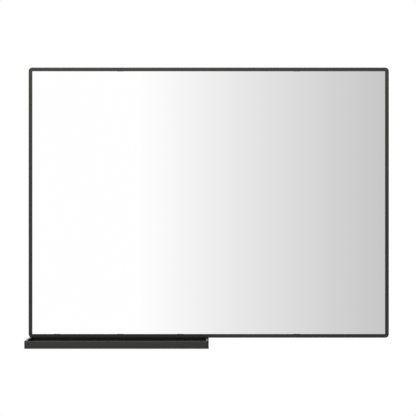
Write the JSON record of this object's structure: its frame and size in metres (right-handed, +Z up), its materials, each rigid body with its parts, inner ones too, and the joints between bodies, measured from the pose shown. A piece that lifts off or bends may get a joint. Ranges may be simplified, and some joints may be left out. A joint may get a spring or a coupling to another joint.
{
  "type": "mirror with shelf",
  "caption": "Landscape wall mirror in a thin black metal frame, with a shallow black tray shelf under the left half of its bottom bar",
  "frame": {"origin": "on the wall plane, midway between the centres of the two hanger slots", "axes": "+X to the right as seen from the front, +Y into the wall, +Z up; the mirror and the shelf's front face -Y"},
  "size_m": [0.8, 0.1, 0.617],
  "materials": {
    "frame_black": "satin powder coat",
    "tray_black": "satin powder coat",
    "end_black": "satin powder coat",
    "mirror": "silvered float glass",
    "film_grey": "smooth film",
    "tape_white": "foam",
    "panel_board": "pressed fibre board",
    "gasket_rubber": "matt",
    "clip_black": "blackened spring steel",
    "aluminium": "mill finish",
    "zinc_steel": "zinc plated",
    "steel": "zinc plated",
    "bumper_rubber": "matt"
  },
  "bodies": {
    "root": {"frame_top": "frame_black", "frame_bottom": "frame_black", "frame_left": "frame_black", "frame_right": "frame_black", "corner_key_top_left": "aluminium", "corner_key_top_right": "aluminium", "corner_key_bottom_left": "aluminium", "corner_key_bottom_right": "aluminium", "corner_key_screws": "steel", "gasket_top": "gasket_rubber", "gasket_bottom": "gasket_rubber", "gasket_left": "gasket_rubber", "gasket_right": "gasket_rubber", "mirror_glass": "mirror", "safety_film": "film_grey", "panel_tapes": "tape_white", "back_panel": "panel_board", "glass_clip_top_left": "clip_black", "glass_clip_top_right": "clip_black", "glass_clip_bottom_left": "clip_black", "glass_clip_bottom_right": "clip_black", "glass_clip_shelf_left": "clip_black", "glass_clip_shelf_right": "clip_black", "hanger_plate_left": "zinc_steel", "hanger_plate_right": "zinc_steel", "hanger_nut_left": "aluminium", "hanger_nut_right": "aluminium", "hanger_screws": "steel", "wall_bumper_left": "bumper_rubber", "wall_bumper_right": "bumper_rubber", "shelf_tray": "tray_black", "shelf_end_left": "end_black", "shelf_end_right": "end_black", "shelf_end_pins": "steel", "shelf_end_screws": "clip_black", "shelf_nut_left": "aluminium", "shelf_nut_right": "aluminium", "shelf_screws": "steel", "shelf_bumper_left": "bumper_rubber", "shelf_bumper_right": "bumper_rubber"}
  },
  "joints": []
}
